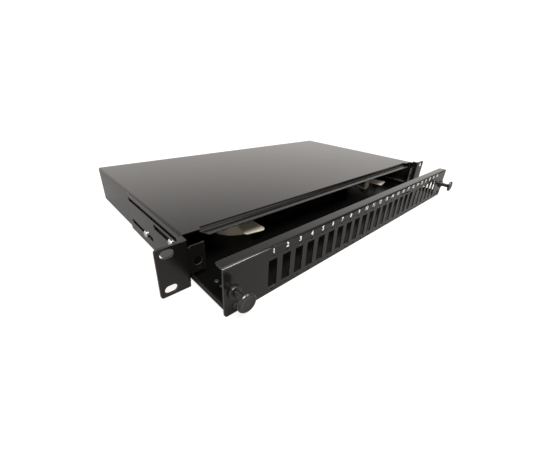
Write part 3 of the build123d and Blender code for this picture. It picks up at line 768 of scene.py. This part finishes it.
# %% Plated metal skin
metal_skin, given, put_out = new_group(
    "metal_skin",
    (("Colour", "Color", colour(0.7, 0.7, 0.7)), ("Roughness", "Float", 0.3),
     ("Packing", "Vector", (300, 300, 2500)), ("Marks", "Float", 0.3), ("Tarnish", "Float", 0.3)),
    skin_exits,
)
spot = add(metal_skin, "TexCoord").outputs["Object"]
packed = add(metal_skin, "VectorMath", {"operation": "MULTIPLY"})
marks = add(metal_skin, "TexNoise", Scale=1.0, Detail=4.0, Roughness=0.65)
mottle = add(metal_skin, "TexNoise", Scale=260.0, Detail=3.0)
join(metal_skin, (spot, packed.inputs[0]), (given["Packing"], packed.inputs[1]),
     (packed.outputs[0], marks.inputs["Vector"]), (spot, mottle.inputs["Vector"]))
dull = span(metal_skin, mottle.outputs["Fac"], 0.4, 0.7)
dull = calculate(metal_skin, "MULTIPLY", dull, given["Tarnish"])
darker = blend_colours(metal_skin, 1.0, given["Colour"], colour(0.62, 0.60, 0.56), "MULTIPLY")
tone = blend_colours(metal_skin, dull, given["Colour"], darker)
scratch = span(metal_skin, marks.outputs["Fac"], 0.45, 0.75)
scratch = calculate(metal_skin, "MULTIPLY", scratch, given["Marks"])
gloss = calculate(metal_skin, "ADD", given["Roughness"], calculate(metal_skin, "MULTIPLY", scratch, 0.25))
gloss = calculate(metal_skin, "ADD", gloss, calculate(metal_skin, "MULTIPLY", dull, 0.18))
bumps = add(metal_skin, "Bump", Distance=0.02 * MM)
join(metal_skin, (given["Marks"], bumps.inputs["Strength"]), (marks.outputs["Fac"], bumps.inputs["Height"]),
     (tone, put_out["Color"]), (gloss, put_out["Roughness"]), (bumps.outputs["Normal"], put_out["Normal"]))
print("metal_skin nodes:", len(metal_skin.nodes))

# %% [markdown]
# ## The finishes
#
# There is one finish for each material slot of the record. The housing, the
# drawer front and the ears share one black satin coat, which turns warm grey
# where it is seen at a slant. The drawer's tray and stops take a darker, duller
# copy of it, which paints the shade inside the drawer. All the values were chosen.

# %% A finish from a skin
def finish(name, skin, values, **plain):
    """A material whose colour, roughness and normal come from a skin group."""
    paint = bpy.data.materials.new(name)
    paint.use_nodes = True
    tree = paint.node_tree
    shader = tree.nodes["Principled BSDF"]
    group = tree.nodes.new("ShaderNodeGroup")
    group.node_tree = skin
    for key, value in values.items():
        group.inputs[key].default_value = value
    join(tree, (group.outputs["Color"], shader.inputs["Base Color"]),
         (group.outputs["Roughness"], shader.inputs["Roughness"]),
         (group.outputs["Normal"], shader.inputs["Normal"]))
    for key, value in plain.items():
        shader.inputs[key.replace("_", " ")].default_value = value
    return paint


warm_gloss = colour(1.0, 0.955, 0.92)
finishes = {
    "powder_coat_black": finish(
        "powder_coat", coat_skin,
        {"Colour": colour(0.0055, 0.0050, 0.0047), "Roughness": 0.18, "Clouds": 0.14, "Peel": 0.10,
         "Edge": 0.5},
        Specular_Tint=warm_gloss),
    # A darker, duller copy of the same coat: painted shade for the inside of the drawer.
    "powder_coat_matt": finish(
        "powder_coat_inside", coat_skin,
        {"Colour": colour(0.0030, 0.0029, 0.0028), "Roughness": 0.20, "Clouds": 0.2, "Peel": 0.10,
         "Edge": 0.5},
        Specular_IOR_Level=0.08, Specular_Tint=warm_gloss),
    "nylon_black": finish(
        "spark_eroded_nylon", mould_skin,
        {"Colour": colour(0.016, 0.016, 0.017), "Roughness": 0.46, "Grain Size": 1300.0, "Grain": 0.5,
         "Scuffs": 0.35, "Flow": 0.2}),
    "seal_rubber": finish(
        "seal_rubber", mould_skin,
        {"Colour": colour(0.011, 0.011, 0.011), "Roughness": 0.68, "Grain Size": 2200.0, "Grain": 0.35,
         "Scuffs": 0.2, "Flow": 0.4}),
    "latch_plastic": finish(
        "polished_latch", mould_skin,
        {"Colour": colour(0.009, 0.0085, 0.008), "Roughness": 0.27, "Grain Size": 1500.0, "Grain": 0.28,
         "Scuffs": 0.5, "Flow": 0.15},
        Coat_Weight=0.12, Coat_Roughness=0.16),
    "ivory_plastic": finish(
        "ivory_moulding", mould_skin,
        {"Colour": colour(0.74, 0.68, 0.54), "Roughness": 0.36, "Grain Size": 700.0, "Grain": 0.12,
         "Scuffs": 0.15, "Flow": 0.35}),
    "tray_plastic": finish(
        "splice_tray_moulding", mould_skin,
        {"Colour": colour(0.020, 0.020, 0.022), "Roughness": 0.34, "Grain Size": 900.0, "Grain": 0.2,
         "Scuffs": 0.4, "Flow": 0.3}),
    "tray_lid_clear": finish(
        "smoke_lid", mould_skin,
        {"Colour": colour(0.62, 0.65, 0.67), "Roughness": 0.10, "Grain Size": 300.0, "Grain": 0.03,
         "Scuffs": 0.5, "Flow": 0.2},
        Transmission_Weight=0.9, IOR=1.46),
    "white_print": finish(
        "white_ink", mould_skin,
        {"Colour": colour(0.88, 0.88, 0.86), "Roughness": 0.5, "Grain Size": 2500.0, "Grain": 0.3,
         "Scuffs": 0.1, "Flow": 0.15}),
    "zinc_fasteners": finish(
        "bright_zinc", metal_skin,
        {"Colour": colour(0.80, 0.78, 0.74), "Roughness": 0.22, "Packing": (900, 900, 900), "Marks": 0.25,
         "Tarnish": 0.35},
        Metallic=1.0),
    "black_fasteners": finish(
        "black_zinc", metal_skin,
        {"Colour": colour(0.035, 0.035, 0.037), "Roughness": 0.34, "Packing": (900, 900, 900), "Marks": 0.3,
         "Tarnish": 0.5},
        Metallic=0.6),
    "brass_earth": finish(
        "turned_brass", metal_skin,
        {"Colour": colour(0.78, 0.58, 0.26), "Roughness": 0.24, "Packing": (200, 4000, 200), "Marks": 0.35,
         "Tarnish": 0.3},
        Metallic=1.0),
    "galvanised_steel": finish(
        "galvanised_sheet", metal_skin,
        {"Colour": colour(0.58, 0.60, 0.62), "Roughness": 0.36, "Packing": (120, 120, 120), "Marks": 0.2,
         "Tarnish": 0.6},
        Metallic=1.0),
}
print("finishes:", len(finishes))

# %% Paint every node and piece
pieces = [item for item in bpy.data.objects if "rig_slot" in item and item.type == "MESH"]
for shape in list(nodes.values()) + pieces:
    slot_name = shape.get("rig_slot") or slot_of_node[shape.name]
    shape.data.materials.clear()
    shape.data.materials.append(finishes[slot_name])
print("nodes painted:", len(nodes), "pieces painted:", len(pieces))

# %% [markdown]
# ## A light for one edge
#
# The fold along the drawer's front catches a thread of light at the near end.
# The small lamp in front on the right draws it. Light linking keeps that lamp
# to the pieces of the drawer front, as a card over the roof would in a studio.

# %% Link the small lamp
drawer_front = bpy.data.collections.new("drawer_front")
for piece in pieces:
    if piece.name.startswith(("front_panel", "plunger", "panel_screws")):
        drawer_front.objects.link(piece)
edge_light.light_linking.receiver_collection = drawer_front

# %% [markdown]
# ## Sizes
# The looks mustn't change the size, so how much the box grew is printed.

# %% Sizes
visual_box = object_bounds()
growth = [visual_box[1][i] - visual_box[0][i] - cad_box[1][i] + cad_box[0][i] for i in range(3)]
print("box grew by", [round(side / MM, 2) for side in growth], "mm")
